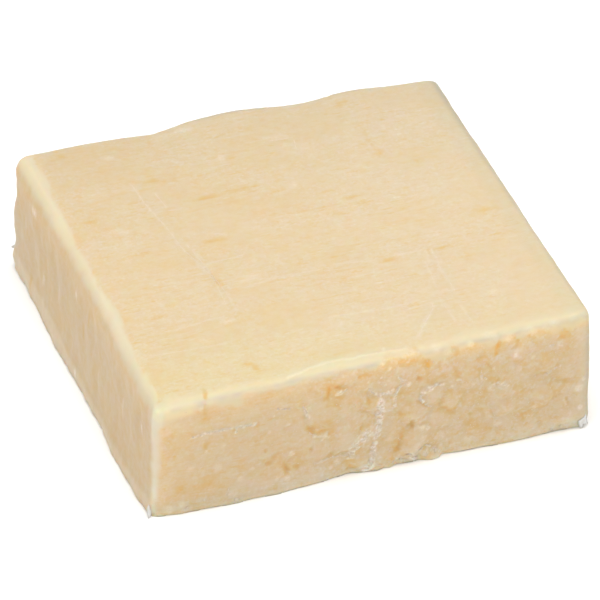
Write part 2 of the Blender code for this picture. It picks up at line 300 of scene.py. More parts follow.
}

bandSet = {  # where the pale pressed edges end, as (place along the edge, limit) knots
    "leftOnTop": [
        (-44, -42), (-29, -41.8), (-16, -40.9), (-8, -41.5), (4, -42.3), (15, -41.4), (22, -41.4),
        (29, -42.2), (38, -41.4), (45, -41.8),
    ],
    "leftOnSide": [(-44, 23.6), (-26, 23.8), (-13, 24.8), (-2, 24.7), (9, 24.2), (18, 24.3), (36, 24.8)],
    "frontOnTop": [
        (-44, -41.4), (-36, -42.5), (-22, -42.8), (-15, -42.2), (-9, -41.2), (3, -41), (20, -41.4),
        (30, -42), (45, -41.2),
    ],
    "frontOnFront": [
        (-44, 21.2), (-40, 22.5), (-37, 23.4), (-35, 24), (-32, 24.1), (-24, 24.5), (-21, 24.9), (-5, 25.5),
        (8, 25.8), (20, 25.8), (31, 25.7), (44, 25.6),
    ],
    "uprightOnFront": [
        (0, -43.3), (6.4, -43.2), (11, -42.5), (16, -42.1), (20.6, -42.6), (23, -41.7), (26, -41),
    ],
    "uprightOnSide": [(0, -44.6), (6.4, -44.2), (11, -43.8), (16, -43.6), (20.6, -43.4), (26, -42.3)],
}

paintedLightSet = {  # painted light: how much red, green and blue come up in the colour where light shines back out of the paste near an edge; negative shares are painted shade
    "front": [  # millimetres under the front ridge, then the three shares
        (-0.5, -0.05, 0, 0.1), (0.6, -0.02, 0.03, 0.14), (1.3, 0.08, 0.13, 0.14), (2, 0.15, 0.14, 0.07),
        (3, 0.16, 0.11, 0), (4, 0.12, 0.08, 0.01), (5.9, 0.09, 0.07, 0.02), (7.9, 0.06, 0.045, 0),
        (10.9, 0.03, 0.02, 0.01), (13.8, 0.02, 0.02, 0.01), (22.7, 0, 0, 0),
    ],
    "frontRight": [  # more of the same, right of the middle
        (0.2, -0.05, -0.03, -0.05), (0.9, -0.01, -0.02, -0.13), (1.4, 0.05, 0, -0.13), (2, 0.05, 0, -0.1),
        (2.4, 0.02, 0, -0.08), (2.8, 0, 0.02, 0.03), (3.2, -0.01, 0.03, 0.09), (5, 0, 0.02, 0.09),
        (6, 0, 0, 0.05), (7.2, 0, -0.01, -0.01), (9, 0, 0, 0),
    ],
    "frontFoot": [  # x along the foot, then the shares: painted light on the foot, painted shade at its left end
        (-43, -0.07, -0.03, 0), (-31, -0.04, 0.01, 0.05), (-20, 0, 0.06, 0.13), (-5, 0.03, 0.1, 0.18),
        (8, 0.08, 0.1, 0.1), (18, 0.03, 0.11, 0.19), (30, 0.05, 0.12, 0.18), (44, 0.06, 0.13, 0.19),
    ],
    "left": [
        (-0.5, 0.05, 0.065, 0.04), (2, 0.07, 0.065, 0.01), (4, 0.085, 0.05, 0), (6, 0.05, 0.02, -0.01),
        (9, 0.01, 0, 0), (25.4, 0, 0, 0), (26.4, -0.08, -0.1, -0.1),
    ],
    "nearUpright": [(-43.5, 0.09), (-40, 0.06), (-35, 0.03), (-25, 0)],
}

shapeSet = {  # small shifts of the foot and the back left upright, which no solid's edge follows
    "frontFoot": [  # x, how far the foot runs out towards the front
        (-44, -0.1), (-41.5, 0.1), (-38.8, 0.5), (-36, 0.1), (-32, -0.2), (-25, -0.25), (-22, 0.1),
        (-19, 0.3), (-14, 0), (-4, 0), (-1.5, 0.15), (1.5, 0.15), (3, -0.3), (4.2, 0), (5.5, -0.7),
        (7, -0.5), (10, -0.2), (11.5, 0.5), (12.8, 0.9), (14.2, 0.7), (15.2, -0.15), (19, 0.1), (24, 0),
        (33, -0.1), (39, -0.45), (43, -0.2),
    ],
    "leftFoot": [  # y, how far the foot runs out to the left
        (-45, 0.1), (-38, 0.12), (-28, 0.06), (-22, -0.1), (-15, 0), (-10, 0.3), (-5, 0.1), (0, 0.06),
        (10, -0.04), (20, -0.14), (28, -0.25), (33, -0.45), (38, -0.6), (44, -0.4),
    ],
    "backLeft": [  # height, how far the upright bulges out
        (0, 0.05), (1.5, 0.3), (3, 0.6), (4.5, 0.4), (6.5, 0.22), (8, 0.4), (10, 0.78), (13.5, 0.75),
        (16, 0.5), (17.5, 0.2), (22, 0.1), (24, 0.5), (26, 0.6),
    ],
}

reliefSet = {  # soft noises: feature size along x, y and z, seed, strength
    "wander": [((7, 7, 6), 11, 0.8), ((2.2, 2.2, 1.8), 12, 0.45), ((3.6, 3.6, 2.8), 13, 0.45)],
    "top": [((22, 16, 60), 21, 0.14), ((10, 1.6, 60), 22, 0.03), ((5, 0.9, 60), 23, 0.015)],
    "topWarm": [((16, 6, 60), 24, 0.03)],
    "topPatches": [((15, 9, 60), 25, 1), ((6, 3, 60), 26, 0.5)],
    "side": [((60, 9, 22), 61, 0.16), ((60, 1.9, 3.2), 62, 0.07), ((60, 4.2, 6.5), 65, 0.28)],
    "sideWarm": [((60, 2.2, 5), 63, 0.04), ((60, 5, 8), 64, 0.08)],
    "back": [((9, 60, 20), 71, 0.14), ((9, 60, 0.9), 72, 0.03)],
    "backWarm": [((14, 60, 1.2), 73, 0.06)],
    "beads": [((0.8, 9, 0.8), 105, 1), ((0.45, 9, 0.45), 106, 0.5)],
    "ridge": [((4.5, 9, 9), 113, 0.16), ((2.1, 9, 9), 114, 0.08)],
}


def cutSkin():
    # a copy of the fixed solid, remeshed finely enough to carve
    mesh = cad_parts["cheddar_chunk"].data.copy()
    welded = bmesh.new()
    welded.from_mesh(mesh)
    bmesh.ops.remove_doubles(welded, verts=welded.verts, dist=0.001 * mm)
    welded.to_mesh(mesh)
    welded.free()
    piece = bpy.data.objects.new("cheddarSlab", mesh)
    bpy.context.scene.collection.objects.link(piece)
    remesh = piece.modifiers.new("fineSkin", "REMESH")
    remesh.mode = "VOXEL"
    remesh.voxel_size = slabSet["skin"] * mm * 1
    smooth = piece.modifiers.new("softened", "SMOOTH")
    smooth.factor = 0.5
    smooth.iterations = slabSet["smoothing"]
    bpy.context.view_layer.update()
    fine = bpy.data.meshes.new_from_object(piece.evaluated_get(bpy.context.evaluated_depsgraph_get()))
    piece.modifiers.clear()
    piece.data = fine
    halveFrontFaces(piece.data)
    return piece


def halveFrontFaces(mesh):
    # the torn front and the edges round it carry the finest detail
    whole = bmesh.new()
    whole.from_mesh(mesh)
    frontLine = min(v.co.y for v in whole.verts) + slabSet["frontDepth"] * mm
    faces = [f for f in whole.faces if f.calc_center_median().y < frontLine and f.normal.z > -0.9]
    edges = {e for f in faces for e in f.edges}
    bmesh.ops.subdivide_edges(whole, edges=list(edges), cuts=1, use_grid_fill=True)
    whole.to_mesh(mesh)
    whole.free()


def readPoints(mesh):
    points = np.empty(len(mesh.vertices) * 3)
    normals = np.empty(len(mesh.vertices) * 3)
    mesh.vertices.foreach_get("co", points)
    mesh.vertex_normals.foreach_get("vector", normals)
    return points.reshape(-1, 3) / mm, normals.reshape(-1, 3)


def facing(normals, direction, low=0.55, high=0.85):
    return ease(normals @ np.array(direction, float), low, high)


def pressedBands(points, wander):
    # how pale each point is, from how far it lies over the line where each pressed edge ends
    x, y, z = points.T
    leftBand = (ease(along(y, bandSet["leftOnTop"]) - x + wander, -0.55, 0.2)
                * ease(z - along(y, bandSet["leftOnSide"]) + wander, -0.9, 0.9))
    scallops = (softNoise(points, (2.6, 9, 9), 14) * 1.5 + 0.15) * ease(x, -8, 6)
    frontBand = (ease(along(x, bandSet["frontOnTop"]) - y + wander, -1.4, 2.6)
                 * ease(z - along(x, bandSet["frontOnFront"]) + wander * 1.6 + scallops, -0.5, 0.8))
    upright = (ease(along(z, bandSet["uprightOnFront"]) - x + wander * 0.5, -0.6, 0.7)
               * ease(along(z, bandSet["uprightOnSide"]) - y + wander * 0.5, -0.6, 0.6))
    rightTop = ease(np.minimum(x - 42.6, z - 21.5) + wander * 2, -1.2, 1.6) * 0.3
    backTop = ease(np.minimum(y - 42.6, z - 21.5) + wander * 2, -1.4, 1.6) * 0.3
    backSides = ease(np.minimum(np.abs(x) - 42.4, y - 42.4) + wander, -1, 1.4) * 0.4
    rightFront = ease(np.minimum(x - 42, -y - 43) + wander, -1, 1.6) * 0.5
    band = np.maximum.reduce([leftBand, frontBand, upright, rightTop, backTop, backSides, rightFront])
    return band, upright


def lineGap(flat, line):
    # distance to a line of straight pieces
    gap = np.full(len(flat), 99.0)
    for start, end in zip(np.array(line[:-1], float), np.array(line[1:], float)):
        run = end - start
        share = np.clip(((flat - start) @ run) / (run @ run), 0, 1)
        gap = np.minimum(gap, np.linalg.norm(flat - start - share[:, None] * run, axis=1))
    return gap


def driedFront(points):
    # where curd on the front has dried white, in threads and spots that break into beads
    flat = crooked(points, (1.1, 9, 1.1), 101, 0.42)[:, [0, 2]]
    threads = np.zeros(len(points))
    spots = np.zeros(len(points))
    for halfWidth, strength, line in slabSet["frontVeins"]:
        threads = np.maximum(threads, strength * ease(lineGap(flat, line), halfWidth * 1.7, halfWidth * 0.5))
    flat = flat * 0.4 + points[:, [0, 2]] * 0.6
    for x, z, radius, strength in slabSet["frontMilk"]:
        gap = np.hypot(flat[:, 0] - x, flat[:, 1] - z)
        spots = np.maximum(spots, strength * ease(gap, radius * 1.3, radius * 0.5))
    beads = ease(relief(points, "beads"), -0.35, 0.2)
    return np.maximum(threads * (0.3 + 0.7 * beads), spots * 0.68), threads * (1 - beads)


def honeyLine(points, wander):
    # the moist yellow line just inside the left band
    leftLine = points[:, 0] - along(points[:, 1], bandSet["leftOnTop"]) + wander
    patchy = 0.4 + 1.6 * ease(softNoise(points, (9, 2.6, 9), 17), 0, 0.4)
    return ease(leftLine, -0.4, 0.5) * ease(leftLine, 3, 0.7) * patchy * (points[:, 2] > 22)


def ridgeMarks(points):
    # folds, spots and the bright crest where the front meets the top, unrolled over the ridge; the crest is
    # painted pale, a painted highlight along the ridge together with dried curd
    over = np.maximum(points[:, 1] + 44.6, 0) - np.maximum(26.3 - points[:, 2], 0)
    flat = np.stack([points[:, 0] + softNoise(points, (1.5, 9, 1.5), 111) * 0.3,
                     over + softNoise(points, (1.5, 2, 2), 112) * 0.3], 1)
    here = (points[:, 1] < -38) & (points[:, 2] > 18)
    ridge = np.exp(-(over / 1.6) ** 2) * here
    crest = ease(lineGap(flat, slabSet["ridgeCrest"]), 0.55, 0.1) * here
    lift = ridge * relief(points, "ridge") + crest * 0.08
    warm = np.zeros(len(points))
    for halfWidth, depth, line in slabSet["ridgeFolds"]:
        fold = ease(lineGap(flat, line), halfWidth * 1.5, 0) * here
        warm = np.maximum(warm, fold * (0.05 + depth * 0.6))
        lift -= fold * depth * 0.8
    # the crest's paleness is a painted highlight, with dried curd
    milk = crest * 0.25
    for x, place, radius, strength in slabSet["ridgeMilk"]:
        gap = np.hypot(flat[:, 0] - x, flat[:, 1] - place)
        milk = np.maximum(milk, ease(gap, radius * 1.4, radius * 0.3) * strength * here)
    return lift + milk * 0.05, warm, milk


def scrapedTop(points):
    # the pale halo of each scratch on the top, broken along its length
    milk = np.zeros(len(points))
    for line, width, _ in scrapeSet["scratches"]["top"]:
        halo = ease(lineGap(points[:, :2], line), 0.3 + width * 1.4, 0.05)
        milk = np.maximum(milk, halo * (0.08 + width))
    return milk * (0.4 + 0.6 * ease(softNoise(points, (1.6, 1.6, 9), 115), -0.5, 0.2))


def carveTop(points, face):
    x, y, _ = points.T
    honey, _ = ovals(points[:, :2], slabSet["topHoney"], wide=1.15)
    spots, brightest = ovals(points[:, :2], slabSet["topMilk"])
    milk = np.maximum(scrapedTop(points), brightest * 0.45)
    lift = relief(points, "top") - honey * 0.05 + spots * 0.03
    # smeared smooth patches are a little yellower, mealy ones a little whiter
    mealy = 0.2 + 0.8 * ease(relief(points, "topPatches"), -0.35, 0.3)
    warm = relief(points, "topWarm") + honey * 0.33 + 0.03 - mealy * 0.05
    warm += along(x, [(-40, 0.03), (0, 0), (40, -0.03)]) + along(y, [(-42, -0.02), (-15, 0)])
    drag = 0.1 + 0.55 * ease(softNoise(points, (20, 6, 60), 27), -0.3, 0.45)
    return lift * face, warm * face, 0.78 * mealy * face, drag * face, milk * face


def carveFront(points, face):
    flat = points[:, [0, 2]]
    bent = crooked(points, (4, 4, 4), 31, 1)
    bentFlat = bent[:, [0, 2]]
    torn = 0.45 + 0.55 * ease(points[:, 0], -22, -2)

    # the lumps that stand out, then smaller curds all over
    lumps = np.zeros(len(points))
    rims = np.zeros(len(points))
    for x, z, halfLength, halfHeight, rise, *tilt in slabSet["frontLumps"]:
        lump = blob(flat * 0.6 + bentFlat * 0.4, x, z, halfLength, halfHeight, *tilt, firm=1.7)
        lumps = np.maximum(lumps, lump * rise)
        rims = np.maximum(rims, ease(lump, 0.02, 0.16) * ease(lump, 0.5, 0.2))
    patchy = ease(softNoise(points, (5, 9, 5), 41), -0.15, 0.35)
    inside, tone = curdCells(bent * (1, 0.4, 1), (4.6, 9, 3.6), 40)
    inGrain, grainTone = curdCells(bent * (1, 0.4, 1), (1.7, 9, 1.4), 50)
    curds = ease(inside, 0, 0.5) * 0.14 + (tone - 0.5) * 0.12
    grains = ease(inGrain, 0, 0.5) * 0.035 + (grainTone - 0.5) * 0.04
    seam = ease(inside, 0.28, 0) * patchy
    lift = torn * (lumps * 1.9 + curds * (1 - 1.5 * lumps) + grains)
    lift += softNoise(points, (9, 9, 7), 44) * 0.12
    warm = torn * (seam * 0.09 + rims * patchy * 0.1 - lumps * 0.15 + (grainTone - 0.5) * 0.03)
    warm += (tone - 0.5) * 0.06 + softNoise(bent, (2.2, 4, 1.9), 43) * 0.05 * torn

    # drag lines where the wire ran smooth, on the left
    lift += (1 - torn) * softNoise(points, (9, 9, 1.1), 45) * 0.06

    # holes between the curds show moist, deeper-coloured paste
    holes = ease(softNoise(bent, (1.7, 4, 1.5), 51), 0.3, 0.75) * torn
    holes += ease(softNoise(bent, (0.9, 4, 0.8), 52), 0.35, 0.75) * torn * 0.5
    lift -= holes * 0.06
    warm += holes * 0.1
    for x, z, halfLength, halfHeight, depth, *tilt in slabSet["frontPits"]:
        pit = blob(flat * 0.7 + bentFlat * 0.3, x, z, halfLength * 0.9, halfHeight * 0.9, *tilt, firm=1.4)
        lift -= pit * depth * 0.55
        warm += pit * (0.14 + depth * 0.22)
    broken = ease(softNoise(points, (2.4, 9, 2.4), 57), -0.55, 0.35)
    for halfWidth, depth, line in slabSet["frontCrevices"]:
        gap = lineGap(flat * 0.4 + bentFlat * 0.6, line)
        crevice = ease(gap, halfWidth * 2.4, 0) * (0.25 + 0.75 * broken)
        lift -= crevice * depth * 0.55
        warm += crevice * (0.05 + depth * 0.24)
    warm += ovals(bentFlat, slabSet["frontHoney"])[0] * 0.15
    foot = ease(points[:, 2] + softNoise(points, (3, 3, 2), 55) * 1.2, 6.5, 1.5)
    mealy = 0.4 + 0.8 * torn + foot * 0.3 - lumps
    drag = 0.1 + 0.6 * (1 - torn)
    milk, gaps = driedFront(points)
    lift += milk * 0.16
    warm += gaps * 0.1
    return lift * face, (warm - foot * 0.03) * face, mealy * face, drag * face, milk * face


def leftLip(points):
    # the pale lip along the left foot
    top = along(points[:, 1], [(-44, 3.8), (-30, 3), (-6, 3), (2, 3.6), (21, 5), (45, 4.6)])
    return ease(top - points[:, 2], -0.7, 0.9)


def carveSides(points, left, right, back):
    lift = left * 0.12 + right * 0.2 + back * (0.2 + relief(points, "back"))
    warm = left * 0.06 + back * relief(points, "backWarm")
    for face, share, shift in ((left, 1, 0), (right, 0.4, 5)):
        lift += face * share * relief(points, "side", shift)
        warm += face * relief(points, "sideWarm", shift)
    lip = leftLip(points)
    honey, _ = ovals(points[:, 1:], slabSet["leftHoney"])
    lift += left * (lip * 0.12 - honey * 0.05)
    warm += left * (honey * 0.3 - lip * 0.1)
    # a few torn spots on the sides that the photograph doesn't show
    for face, seed in ((right, 81), (back, 84)):
        holes = ease(softNoise(points, (2.4, 2.4, 2), seed), 0.58, 0.85) * face
        lift -= holes * 0.12
        warm += holes * 0.18
    _, milk = ovals(points[:, 1:], slabSet["leftMilk"], firm=2)
    milk *= left * (0.5 + 0.5 * ease(softNoise(points, (60, 0.7, 1.6), 87), -0.3, 0.1))
    return lift + milk * 0.12, warm, milk


def paintLightAndShade(points, normals, top, front, left, upright, wander, moist):
    # painted light and shade in the colour: painted glow near the edges, where light shines back out of the
    # paste; painted shade at the far and right edges and on the left face. Light that comes out of a moist
    # pit has gone through more paste, so it is painted redder there.
    x, y, z = points.T
    under = along(x, [(-45, 26.3), (45, 27.1)]) - z
    far = along(y, [(-45, 0), (0, 0.1), (25, 0.45), (45, 1)])
    # painted shade: the right and back rims are darkened where they turn away from the light
    rim = np.maximum(ease(x, 44.2, 46.2) * (1 - ease(normals[:, 0], 0.93, 0.99)),
                     ease(y, 44, 46) * (1 - ease(normals[:, 1], 0.7, 0.9)))
    paste = front * (1 - upright)
    leftRidge = ease(x, -39.5, -41.5) * ease(z, 23, 25)
    paintedLightTint = np.ones((len(points), 4))
    # painted glow near the edges and painted light over the foot
    glows = [(paste, under - wander, "front"), (paste * ease(x, -6, 9), under, "frontRight"),
             (front * ease(z, 5, 1), x, "frontFoot"), (ease(-normals[:, 0], 0.15, 0.5), 26.5 - z, "left")]
    for share, place, name in glows:
        for channel in range(3):
            paintedLightTint[:, channel] += share * along(place, paintedLightSet[name], channel + 1)
    shifts = [
        # a painted redder glow in moist pits, and painted shade on the right and back rims
        (moist, (0.06, -0.01, -0.05)), (rim, (-0.22, -0.18, -0.1)),
        # the top: all of it, its far, near, left and right parts; the far and right parts get painted shade
        (top, (0, 0.015, 0)), (top * far * ease(x, -42, -39), (-0.1, -0.095, -0.08)),
        (top * ease(y, -28, -40), (0.005, 0.012, -0.02)),
        (top * ease(y, -15, -38) * ease(x, 20, -20), (0, 0.025, 0)),
        (top * ease(x, 40, 43.5), (-0.05, -0.03, -0.03)),
        # the front: painted shade at its right end; under the ridge's left end; painted light at its foot
        # and beside the upright
        (front * ease(x, 43, 45.8), (-0.1, -0.05, 0.02)),
        (paste * ease(x, -33.5, -37) * ease(under, 0, 0.8) * ease(under, 3.8, 2.4), (0.08, 0.085, 0.02)),
        (front * ease(z, 1.6, 0.3), (0.16, 0.12, 0.11)),
        (paste * along(x, paintedLightSet["nearUpright"]) * ease(under, 3, 6), (1, 0.9, 0.4)),
        # the left face with painted shade, its near end with painted light, its lip and the ridge over it
        (left, (-0.04, -0.05, -0.05)), (left * ease(y, -42.5, -44), (0.03, 0.05, 0.05)),
        (left * leftLip(points), (0.08, 0.1, 0.12)), (leftRidge, (-0.015, -0.008, 0.012)),
        (leftRidge * ease(y, 5, -10), (0, 0.02, 0.05)),
        # the near left upright, from the top down
        (upright * ease(under, 1.6, 0.2), (-0.06, -0.05, -0.05)),
        (upright * ease(under, 0.6, 1.6) * ease(under, 3.8, 2.4), (0.04, 0.13, 0.13)),
        (upright * ease(under, 1, 4), (0.13, 0.18, 0.28)),
        (upright * ease(under, 3, 4) * ease(under, 7.5, 6), (-0.05, 0, 0.04)),
        (upright * ease(z, 13, 8), (-0.02, 0.03, 0.09)),
        (upright * ease(z, 5, 6.5) * ease(z, 10, 8.5), (0, 0.025, 0.07)),
        (upright * ease(z, 7, 2), (-0.02, 0.06, 0.13)),
    ]
    for share, shift in shifts:
        paintedLightTint[:, :3] += share[:, None] * np.array(shift)
    return paintedLightTint


def squareFoot(points, normals):
    # how far the foot is pushed out, so that the slab stands on a crisp edge
    rounding = 1.1
    gap = np.clip(rounding - points[:, 2], 0, rounding)
    out = normals * (1, 1, 0)
    length = np.linalg.norm(out, axis=1)
    out = out / np.maximum(length, 0.001)[:, None]
    push = (rounding - np.sqrt(rounding ** 2 - gap ** 2)) * (length > 0.2)
    return out * (push - 0.18 * ease(points[:, 2], 3.2, 0.2))[:, None]


def shiftEdges(points):
    # the foot's own line and the bulging back left upright
    x, y, z = points.T
    shift = np.zeros((len(points), 3))
    shift[:, 1] -= along(x, shapeSet["frontFoot"]) * ease(z, 3.5, 0.2) * ease(y, -41.5, -44)
    shift[:, 0] -= along(y, shapeSet["leftFoot"]) * ease(z, 6, 0.5) * ease(x, -41.5, -44)
    shift += (ease(y, 38, 44) * ease(z, 18, 25))[:, None] * np.array((0, 0.07, 0.08))
    corner = ease(np.hypot(x + 45.5, y - 45.5), 5, 1) * along(z, shapeSet["backLeft"])
    return shift + corner[:, None] * np.array((-0.945, 0.327, 0))


def carveSlab(piece):
    points, normals = readPoints(piece.data)
    top = facing(normals, (0, 0, 1))
    front = facing(normals, (0, -1, 0), 0.35, 0.8)
    left = facing(normals, (-1, 0, 0))
    right = facing(normals, (1, 0, 0))
    back = facing(normals, (0, 1, 0))
    wander = relief(points, "wander")
    band, upright = pressedBands(points, wander)
    topLift, topWarm, topMealy, topDrag, topMilk = carveTop(points, top)
    frontLift, frontWarm, frontMealy, frontDrag, frontMilk = carveFront(points, front)
    sideLift, sideWarm, sideMilk = carveSides(points, left, right, back)
    ridgeLift, ridgeWarm, ridgeMilk = ridgeMarks(points)
    frontWarm = frontWarm + ridgeWarm
    band *= 1 - 0.75 * ease(topWarm + frontWarm + sideWarm, 0.14, 0.3)  # moist spots show through
    calm = 1 - 0.7 * band  # pressed edges are smoother
    lift = topLift + frontLift * calm + sideLift + ridgeLift
    lift += softNoise(points, (6, 6, 4), 15) * 0.09 * band + softNoise(points, (1.6, 1.6, 1.4), 16) * 0.03
    warm = (topWarm + frontWarm + sideWarm) * (1 - 0.55 * band) + honeyLine(points, wander) * 0.03
    others = np.clip(left + right + back, 0, 1)
    mealy = topMealy + frontMealy + 0.25 * others
    drag = topDrag + frontDrag + 0.05 * others

    under = points[:, 2] < 0.3
    lift = np.where(under & (normals[:, 2] < -0.5), 0, lift)
    moved = points + normals * lift[:, None] + squareFoot(points, normals) + shiftEdges(points)
    moved[:, 2] = np.maximum(moved[:, 2], 0)
    moved[:, 2] = np.where((normals[:, 2] < -0.95) & (moved[:, 2] < 0.4), 0, moved[:, 2])
    piece.data.vertices.foreach_set("co", (moved * mm).ravel())

    # what the material reads from the mesh
    milk = np.clip(np.maximum(topMilk + frontMilk + sideMilk, ridgeMilk), 0, 1)
    layers = {"band": band, "warm": warm, "mealy": mealy, "drag": drag, "milk": milk,
              "upright": np.clip(left + right, 0, 1)}
    for name, values in layers.items():
        layer = piece.data.attributes.new(name, "FLOAT", "POINT")
        layer.data.foreach_set("value", values.astype(np.float32))
    layer = piece.data.attributes.new("paintedLightTint", "FLOAT_COLOR", "POINT")
    # moist pits, which get a painted redder glow
    moist = front * ease(frontWarm, 0.16, 0.4)
    paintedLightTint = paintLightAndShade(points, normals, top, front, left, upright, wander, moist)
    layer.data.foreach_set("color", paintedLightTint.astype(np.float32).ravel())
    piece.data.update()


def flattenFoot(piece):
    # the flat underside needs no fine faces
    whole = bmesh.new()
    whole.from_mesh(piece.data)
    under = [f for f in whole.faces if all(v.co.z < 0.001 * mm for v in f.verts)]
    bmesh.ops.dissolve_faces(whole, faces=under, use_verts=False)
    big = [f for f in whole.faces if len(f.verts) > 4]
    bmesh.ops.triangulate(whole, faces=big, ngon_method="BEAUTY")
    whole.to_mesh(piece.data)
    whole.free()


pasteSet = {
    "ramp": [  # from the moistest paste to the driest
        (0, "#D0A35E"), (0.2, "#CFAC75"), (0.36, "#CEB388"), (0.5, "#CFBA9A"), (0.66, "#D1C0A8"),
        (0.84, "#D6CABB"), (1, "#DCD7D0"),
    ],
    "patterns": {  # millimetres along x, y and z, seed, detail
        "fineAlong": ((6, 0.7, 0.6), 3, 3), "fineUp": ((0.7, 0.7, 9), 7, 3),
        "moistDashes": ((3.2, 0.9, 0.8), 13, 1.5), "milkDashes": ((2.4, 0.7, 0.6), 17, 1.5),
        "specks": ((0.8, 0.8, 0.8), 21, 1.5), "mottles": ((1.2, 1.1, 1), 61, 2),
        "clouds": ((2.2, 1.8, 1.7), 27, 4), "beads": ((0.45, 0.45, 0.45), 51, 2),
        "grain": ((0.8, 0.8, 0.8), 41, 3),
    },
    "marks": [  # where a pattern shows, two of its levels and the tone that it adds at each
        ("drag", "streaks", 0.25, 0.75, -0.1, 0.1), ("all", "clouds", 0.3, 0.7, -0.075, 0.075),
        ("drag", "moistDashes", 0.62, 0.72, 0, -0.2), ("drag", "milkDashes", 0.62, 0.72, 0, 0.2),
        ("mealy", "specks", 0.5, 0.68, -0.02, 0.105), ("mealy", "mottles", 0.5, 0.68, 0.015, -0.08),
    ],
    "coats": [  # where it lies, colour, the pattern that thins it, two of its levels, least cover
        ("band", "#D0C2A7", "clouds", 0.25, 0.6, 0.85),  # pale lemon cream of the pressed edges
        ("milk", "#E4DBCF", "beads", 0.35, 0.6, 0.45),  # dried curd, milky white
    ],
    "bumpMm": 0.12,
    "scatterMm": 1.8,
    "roughness": 0.5,
    "shine": 0.15,  # curd is so finely rough that it hardly mirrors at a low angle
}


def cheddarPaste():
    # white cheddar, milk curd pressed in a block and cut by wire. Its fat and water let light in, so
    # it glows at edges and pits, and the wire smears it into pale and yellow streaks.
    material = newMaterial("wireCutWhiteCheddar")
    tree = material.node_tree
    where = addNode(tree, "TexCoord").outputs["Object"]
    shares = {"all": 1}  # how much of each mark shows, as the carving wrote it on the mesh
    for name in ("upright", "band", "warm", "mealy", "drag", "milk"):
        shares[name] = addNode(tree, "Attribute", attribute_name=name).outputs["Fac"]
    patterns = {}
    for name, (sizes, seed, detail) in pasteSet["patterns"].items():
        scaled = addNode(tree, "Mapping", {"Vector": where, "Scale": [perMetre(s) for s in sizes],
                                           "Location": (seed, seed * 1.7, seed * 0.6)})
        patterns[name] = addNode(tree, "TexNoise", {"Vector": scaled, "Scale": 1, "Detail": detail,
                                                    "Roughness": 0.6})
    # drawn streaks follow the wire: along x on the top, front and back, upright on the sides
    patterns["streaks"] = addNode(tree, "Mix", {0: shares["upright"], 2: patterns["fineAlong"],
                                                3: patterns["fineUp"]})

    # how moist or dry each point looks, and its colour from that
    tone = addNode(tree, "Math", {0: 0.5, 1: shares["warm"]}, operation="SUBTRACT")
    for share, name, low, high, start, end in pasteSet["marks"]:
        mark = addNode(tree, "MapRange", {0: patterns[name], 1: low, 2: high, 3: start, 4: end},
                       interpolation_type="SMOOTHSTEP" if name.endswith("Dashes") else "LINEAR")
        tone = addNode(tree, "Math", {0: shares[share], 1: mark, 2: tone}, operation="MULTIPLY_ADD")
    paste = addNode(tree, "ValToRGB", {"Fac": tone})
    stops = paste.color_ramp.elements
    for spot, _ in pasteSet["ramp"][1:-1]:
        stops.new(spot)
    for stop, (spot, colour) in zip(stops, pasteSet["ramp"]):
        stop.position = spot
        stop.color = linearColour(colour)
    for share, colour, name, low, high, least in pasteSet["coats"]:
        thinned = addNode(tree, "MapRange", {0: patterns[name], 1: low, 2: high, 3: least, 4: 1})
        cover = addNode(tree, "Math", {0: shares[share], 1: thinned}, operation="MULTIPLY")
        paste = addNode(tree, "Mix", {0: cover, 6: paste, 7: linearColour(colour)},
                        data_type="RGBA").outputs[2]
    # painted light and shade, multiplied into the paste colour
    paintedLightTint = addNode(tree, "Attribute", attribute_name="paintedLightTint").outputs["Color"]
    paste = addNode(tree, "Mix", {0: 1, 6: paste, 7: paintedLightTint},
                    data_type="RGBA", blend_type="MULTIPLY").outputs[2]

    bumpStrength = addNode(tree, "MapRange", {0: shares["upright"], 1: 0, 2: 1, 3: 0.2, 4: 0.4})
    bump = addNode(tree, "Bump", {"Height": patterns["grain"], "Strength": bumpStrength,
                                  "Distance": pasteSet["bumpMm"] * mm})
    shader = addNode(tree, "BsdfPrincipled", {
        "Base Color": paste, "Normal": bump, "Roughness": pasteSet["roughness"], "IOR": 1.45,
        "Specular IOR Level": pasteSet["shine"], "Subsurface Weight": 1,
        "Subsurface Radius": (1, 0.5, 0.25), "Subsurface Scale": pasteSet["scatterMm"] * mm})
    addNode(tree, "OutputMaterial", {"Surface": shader})
    return material


def makeSlab():
    piece = cutSkin()
    carveSlab(piece)
    flattenFoot(piece)
    piece.data.materials.clear()
    piece.data.materials.append(cheddarPaste())
    piece.data.shade_smooth()
    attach(piece, "root")
    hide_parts("cheddar_chunk")
    triangles = sum(len(f.vertices) - 2 for f in piece.data.polygons)
    print("slab carved:", len(piece.data.vertices), "points,", triangles, "triangles")
    return piece


# what the wire left on the slab

def castOnSlab(tree, side, u, v):
    # the slab's point and normal seen straight from one side; u and v are its two other coordinates
    start, aim = {"top": ((u, v, 80), (0, 0, -1)), "front": ((u, -80, v), (0, 1, 0)),
                  "left": ((-80, u, v), (1, 0, 0))}[side]
    point, normal, _, _ = tree.ray_cast(Vector(start) * mm, Vector(aim))
    return None if point is None else (np.array(point) / mm, np.array(normal))


def turnedAxes(normal, spin):
    # two directions along the surface and the one out of it
    helper = np.array((0, 0, 1) if abs(normal[2]) < 0.7 else (1, 0, 0))
    first = np.cross(helper, normal)
    first /= np.linalg.norm(first)
    second = np.cross(normal, first)
    return np.stack([first * math.cos(spin) + second * math.sin(spin),
                     second * math.cos(spin) - first * math.sin(spin), normal])


def ballShape():
    ball = bmesh.new()
    bmesh.ops.create_icosphere(ball, subdivisions=2, radius=1)
    corners = np.array([v.co[:] for v in ball.verts])
    faces = [[v.index for v in f.verts] for f in ball.faces]
    ball.free()
    return corners, faces


